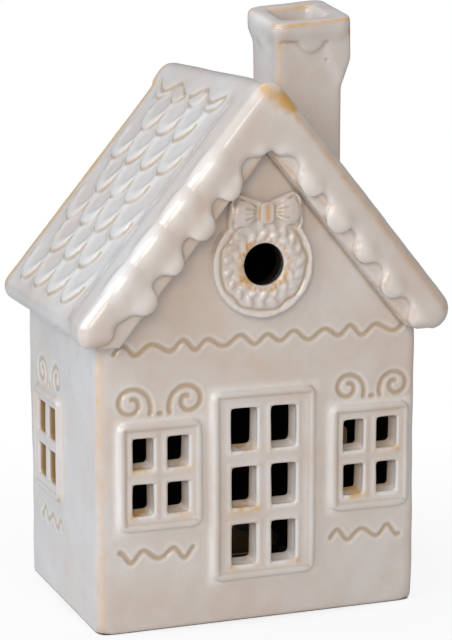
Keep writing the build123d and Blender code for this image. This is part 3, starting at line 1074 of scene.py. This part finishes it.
drip_lines = [[drawn_back(p) for p in chain] for chain in creases(on_drip, "front_left_icing")]
drip_lines += creases(on_drip, "front_right_icing")
board_edge = creases(long_at(slab_front), *BOARD_NODES)
roof_strokes = [
    # Painted highlight: the middle of each tile is raised a little and painted white where it catches the
    # light.
    stroke("tile_bodies", tile_bodies, 3.4, -0.3, 0.6, "pool_and_highlight"),
    stroke("tile_tips", tile_lines, 1.15, 0.5, 1.0),
    stroke("drip_shade", drip_lines, 1.4, 0.12, 0.90),
    # Painted highlight: a white band along the drips' lumps, where their glossy bulges catch the light.
    stroke("lump_glaze", [lump_line(-1), lump_line(1)], 3.6, 0.0, 0.9, "pool_and_highlight"),
    # Painted highlight: white scallops on the left verge only, the side that faces the window light.
    stroke("verge_rolls", verge_rolls(-1), 6.5, -0.8, 0.95, "pool_and_highlight"),
    stroke("left_verge", creases(on_verge, "front_left_icing"), 2.0, 0.0, 0.25, "edge"),
    stroke("right_verge", creases(on_verge, "front_right_icing"), 2.4, 0.0, 0.70, "edge"),
    stroke("board_edge", board_edge, 1.1, 0.0, 0.70, "edge"),
    stroke("left_back_verge", back_verge("left_roof_slope"), 4.0, 0.0, 1.0, "edge"),
    stroke("apex", apex_patch, 5.5, 0.0, 1.0, "edge"),
    # The apex flecks are ochre, and their whitening stands in for glints of light.
    stroke("apex_flecks", apex_patch, 6.5, 0.0, 1.0, "sill"),
]
roof_clay = [clay(n) for n in SLOPE_NODES + ["ridge_cap", "front_right_icing"] + BOARD_NODES]
roof_clay += [left_icing_clay(), drip_lumps(-1), drip_lumps(1), step_ramp(-1), step_ramp(1)]
roof = glaze_skin("roof", roof_clay, roof_strokes, soft=icing_soft)
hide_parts(*SLOPE_NODES, "ridge_cap", *ICING_NODES, *BOARD_NODES)

# %% [markdown]
# ## Chimney
# A square flue with a lump of icing run over its rim. It is handled most when it is dipped, so the glaze
# is thin on its rim and down its front left edge. Its left face is painted whiter where the light falls on
# it.


# %% Chimney
def on_rim(edge):
    return sharp(edge, 30) and looks_up(edge, 0.9)


def front_rim(edge):
    middle = middle_of(edge)
    return on_rim(edge) and (middle.y < stack_low.y + 1 * MM or abs(middle.y - stack_high.y) < 5.5 * MM)


COLLAR = 9.2 * MM
cap_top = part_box("chimney_cap")[1].z


def cap_foot(edge):
    """The lower edge of the collar and its drip on the front."""
    middle = middle_of(edge)
    low = min(f.normal.z for f in edge.link_faces) < -0.25 and middle.z < cap_top - COLLAR
    front = middle.y < stack_low.y - 0.2 * MM and middle.x < stack_high.x - 4.0 * MM
    return low and front and sharp(edge, 15)


flue_edge = [(stack_low.x, stack_low.y, z) for z in (stack_low.z, cap_top - COLLAR - 4 * MM)]
flue_middle = (stack_low.y + stack_high.y) / 2
flue_side = [(stack_low.x - 3 * MM, flue_middle, z) for z in (stack_low.z, cap_top)]
chimney_strokes = [
    stroke("rim_glaze", creases(on_rim, "chimney_cap"), 1.5, 0.0, 0.55, "edge"),
    stroke("front_rim_glaze", creases(front_rim, "chimney_cap"), 2.6, 0.0, 1.0, "edge"),
    stroke("cap_foot", creases(cap_foot, "chimney_cap"), 1.2, 0.25, 0.55),
    stroke("flue_edge", [flue_edge], 3.0, 0.0, 0.95, "edge"),
    # Painted highlight: the chimney's left face, toward the window light, is painted whiter.
    stroke("left_flue", [flue_side], 12.0, 0.0, 0.9, "pool_and_highlight"),
]
chimney_clay = [clay("chimney_stack"), clay("chimney_cap")]
chimney = glaze_skin("chimney", chimney_clay, chimney_strokes)
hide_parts("chimney_stack", "chimney_cap")
for piece in (walls, wreath, roof, chimney):
    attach(piece, "house")
for path in stroke_paths:
    bpy.data.objects.remove(path)

# %% [markdown]
# ## The tealight
# A fluted foil cup, wax, a braided wick and the tin foot that holds it; the foil and the wax are painted dark
# as shade for the dark inside of the house. The cup and the wax are turned from profiles. The flutes repeat
# round the cup, so a Geometry Nodes tree presses them in.


# %% Tealight finishes
def grained(name, grain, gloss, relief, height, strength, colours=None, **constants):
    """A finish whose colour and gloss follow one noise, and its relief another."""
    made = Finish(name, **constants)
    noise = made.noise(*grain)
    if colours:
        made.feed("Base Color", made.blend(noise, *colours))
    made.feed("Roughness", gloss[0] + noise * gloss[1])
    made.feed("Normal", made.bump(made.noise(*relief), height, strength))
    return made.material


# Painted shade: the foil and the wax are much darker than a real tealight's, standing in for the shade inside
# the house.
FOIL = (0.34, 0.33, 0.32, 1.0)
TIN = (0.62, 0.61, 0.59, 1.0)
WAX = ((0.24, 0.16, 0.07, 1.0), (0.32, 0.23, 0.11, 1.0))
COTTON = ((0.55, 0.52, 0.45, 1.0), (0.80, 0.78, 0.71, 1.0))
foil_material = grained(
    "foil", (700.0, 4.0, 0.6), (0.24, 0.16), (260.0, 2.0), 0.0003, 0.3, Metallic=1.0, Base_Color=FOIL
)
wax_material = grained(
    "wax", (120.0, 3.0), (0.38, 0.20), (420.0, 3.0), 0.0002, 0.4, WAX,
    Subsurface_Weight=0.25, Subsurface_Scale=0.003, IOR=1.44,
)
cotton_material = grained("cotton", (2400.0, 3.0, 0.7), (0.9, 0.0), (2400.0, 3.0, 0.7), 0.0002, 0.6, COTTON)
tin_material = grained(
    "tin", (900.0, 3.0), (0.30, 0.25), (600.0, 2.0), 0.0002, 0.3, Metallic=1.0, Base_Color=TIN
)

# %% Turned pieces
cup_radius, _, cup_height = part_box("tealight_cup")[1] / MM
wax_radius, _, wax_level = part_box("wax")[1] / MM
wax_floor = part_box("wax")[0].z / MM
FLUTES = 48


def turned(name, profile, segments):
    """Spins (radius, height) pairs in millimetres about +Z; the first and last pairs are on the axis."""
    shape = bmesh.new()
    turns = [2 * math.pi * i / segments for i in range(segments)]
    circle = [(math.cos(t) * MM, math.sin(t) * MM) for t in turns]
    rings = [[shape.verts.new((r * x, r * y, z * MM)) for x, y in circle] for r, z in profile[1:-1]]
    first = shape.verts.new((0, 0, profile[0][1] * MM))
    last = shape.verts.new((0, 0, profile[-1][1] * MM))
    for i in range(segments):
        j = (i + 1) % segments
        shape.faces.new((first, rings[0][j], rings[0][i]))
        shape.faces.new((last, rings[-1][i], rings[-1][j]))
    for low, high in zip(rings, rings[1:]):
        bridge(shape, low, high)
    bmesh.ops.recalc_face_normals(shape, faces=shape.faces)
    return plain_mesh(name, shape)


def flute_recipe(material):
    recipe = Recipe("flutes")
    count, press, low, high = recipe.given(Count="Float", Press="Float", Low="Float", High="Float")
    position = recipe.node("GeometryNodeInputPosition")
    split = {axis: recipe.node("ShaderNodeSeparateXYZ", {}, [position], axis) for axis in "XYZ"}
    angle = split["X"].maths("ARCTAN2", split["Y"], split["X"])
    wave = angle.maths("COSINE", angle * count)
    reach = split["X"].maths("SQRT", split["X"] * split["X"] + split["Y"] * split["Y"])
    on_wall = split["Z"].above(low, low + 1.5 * MM) * (1 - split["Z"].above(high - 1.5 * MM, high))
    outer = reach.above(0.9 * cup_radius * MM, 0.93 * cup_radius * MM)
    amount = (wave - 1) * press * on_wall * outer
    flat = recipe.node("ShaderNodeVectorMath", {"operation": "MULTIPLY"}, [position, (1, 1, 0)])
    away = recipe.node("ShaderNodeVectorMath", {"operation": "NORMALIZE"}, [flat])
    return recipe.finish(recipe.pushed(recipe.geometry(), away, amount), material)


wall_steps = [1.2 + (cup_height - 3.0) * i / 8 for i in range(9)]
cup_wall = [(1.6, 0), (0.8, 0.25), (0.45, 0.8)] + [(0.4, z) for z in wall_steps]
cup_wall += [(0, cup_height - 0.9), (0, cup_height - 0.35), (0.4, cup_height)]
inner_steps = [cup_height - 0.4, cup_height - 1.6] + wall_steps[::-1]
cup_wall += [(0.75, z) for z in inner_steps] + [(1.6, 0.4)]
cup_profile = [(0, 0)] + [(cup_radius - inset, z) for inset, z in cup_wall] + [(0, 0.4)]
cup = mesh_object("tealight_cup_foil", turned("tealight_cup_foil", cup_profile, FLUTES * 6))
flutes = flute_recipe(foil_material)
flutes.add_to(cup, {"Count": FLUTES, "Press": 0.16 * MM, "Low": 1.0 * MM, "High": (cup_height - 1.6) * MM})
cup = mesh_object("tealight_cup_foil", evaluated_mesh(cup))
wax_edge = wax_radius - 0.75
wax_top = [(wax_edge, -0.2), (wax_edge - 0.1, 0), (wax_edge - 1.2, -0.45)]
wax_top += [(8, -0.5), (3, -0.6), (1.2, -0.3), (0, -0.2)]
wax_profile = [(0, wax_floor), (wax_edge, wax_floor)] + [(r, wax_level + z) for r, z in wax_top]
wax = mesh_object("tealight_wax", turned("tealight_wax", wax_profile, 96))
wax.data.materials.append(wax_material)
print("cup", len(cup.data.polygons), "wax", len(wax.data.polygons), "faces")

# %% Wick
wick_low, wick_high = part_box("wick")
WICK_STEPS = 32
WICK_SIDES = 12


def wick_mesh(name):
    """A braid of three lobes that twists as it rises, and leans a little at the top."""
    shape = bmesh.new()
    radius = wick_high[0]
    rings = []
    for i in range(WICK_STEPS + 1):
        t = i / WICK_STEPS
        z = wick_low[2] + (wick_high[2] - wick_low[2]) * t
        lean = Vector((0.35, -0.2, 0)) * MM * max(0, t - 0.6) ** 2 * 6
        ring = []
        for k in range(WICK_SIDES):
            turn = 2 * math.pi * k / WICK_SIDES
            reach = radius * (0.72 + 0.12 * math.cos(3 * (turn + 9 * t))) * (1 - 0.25 * t ** 8)
            ring.append(shape.verts.new(Vector((reach * math.cos(turn), reach * math.sin(turn), z)) + lean))
        rings.append(ring)
    for low, high in zip(rings, rings[1:]):
        bridge(shape, low, high)
    shape.faces.new(list(reversed(rings[0])))
    shape.faces.new(rings[-1])
    return plain_mesh(name, shape)


wick = mesh_object("tealight_wick", wick_mesh("tealight_wick"))
wick.data.materials.append(cotton_material)
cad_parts["wick_tab"].data.materials.clear()
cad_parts["wick_tab"].data.materials.append(tin_material)
for piece, node, slot in ((cup, "tealight_cup", "foil"), (wax, "wax", "wax"), (wick, "wick", "wick")):
    piece.data.polygons.foreach_set("use_smooth", [True] * len(piece.data.polygons))
    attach(piece, "tealight")
    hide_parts(node)

# %% [markdown]
# ## Floor and light
# A white sweep under soft studio light: a large cool window at the upper left, a warm fill in front and a
# weak light above. The floor glows white to the camera away from the house and keeps the soft shadow near it;
# under the house, where little light reaches, its colour is painted near black as shade.

# %% Stage
HOUSE_MIDDLE = (0.0, 0.0, 0.08)


def soft_light(name, place, size, power, colour):
    data = bpy.data.lights.new(name, "AREA")
    data.shape = "SQUARE"
    data.size = size
    data.energy = power
    data.color = colour
    lamp = bpy.data.objects.new(name, data)
    scene.collection.objects.link(lamp)
    lamp.location = place
    lamp.rotation_euler = (Vector(place) - Vector(HOUSE_MIDDLE)).to_track_quat("Z", "Y").to_euler()


soft_light("window_left", (-0.75, -0.28, 0.52), 0.50, 5.4, (0.67, 0.83, 1.0))
soft_light("fill_front", (-0.42, -0.85, 0.48), 0.50, 4.25, (1.0, 0.81, 0.63))
soft_light("top", (-0.15, 0.1, 0.95), 0.50, 2.1, (0.91, 0.94, 1.0))

world = bpy.data.worlds.new("studio")
world.use_nodes = True
scene.world = world
sky_graph = Graph(world.node_tree)
sky = world.node_tree.nodes["Background"]
sky.inputs["Color"].default_value = (1.0, 1.0, 1.0, 1.0)


def seen_rays(graph):
    """1 for rays that show the background itself: camera and transmission rays."""
    camera_ray = graph.node("ShaderNodeLightPath", output="Is Camera Ray")
    return (camera_ray + graph.node("ShaderNodeLightPath", output="Is Transmission Ray")).clamped()


world.node_tree.links.new((0.34 + seen_rays(sky_graph) * 0.66).socket, sky.inputs["Strength"])

floor_mesh = bpy.data.meshes.new("floor")
FLOOR_HALF = 3.0
corners = [(-1, -1), (1, -1), (1, 1), (-1, 1)]
floor_mesh.from_pydata([(x * FLOOR_HALF, y * FLOOR_HALF, 0) for x, y in corners], [], [(0, 1, 2, 3)])
floor = mesh_object("floor", floor_mesh)
PAPER = (0.66, 0.66, 0.66, 1.0)
FLOOR_SHADE = (0.03, 0.03, 0.03, 1.0)
paper = Finish("floor_paper", Roughness=0.9)
away = paper.node("ShaderNodeVectorMath", {"operation": "LENGTH"}, [paper.place()], "Value")
open_air = paper.node("ShaderNodeAmbientOcclusion", {"samples": 16}, {"Distance": 0.12}, "AO")
# Painted shade: the paper's colour goes near black where it is hemmed in, under the house.
paper.feed("Base Color", paper.blend(open_air.above(0.10, 0.34), FLOOR_SHADE, PAPER))
glow_share = seen_rays(paper) * (0.90 + away.above(0.07, 0.20) * 0.10) * open_air.above(0.32, 0.50)
glow = paper.node("ShaderNodeEmission", {}, {"Color": (1.0, 1.0, 1.0, 1.0)})
lit = Wire(paper, paper.shader.outputs[0])
mixed = paper.node("ShaderNodeMixShader", {}, [glow_share, lit, glow])
paper.tree.links.new(mixed.socket, paper.tree.nodes["Material Output"].inputs["Surface"])
floor_mesh.materials.append(paper.material)
print("stage ready")
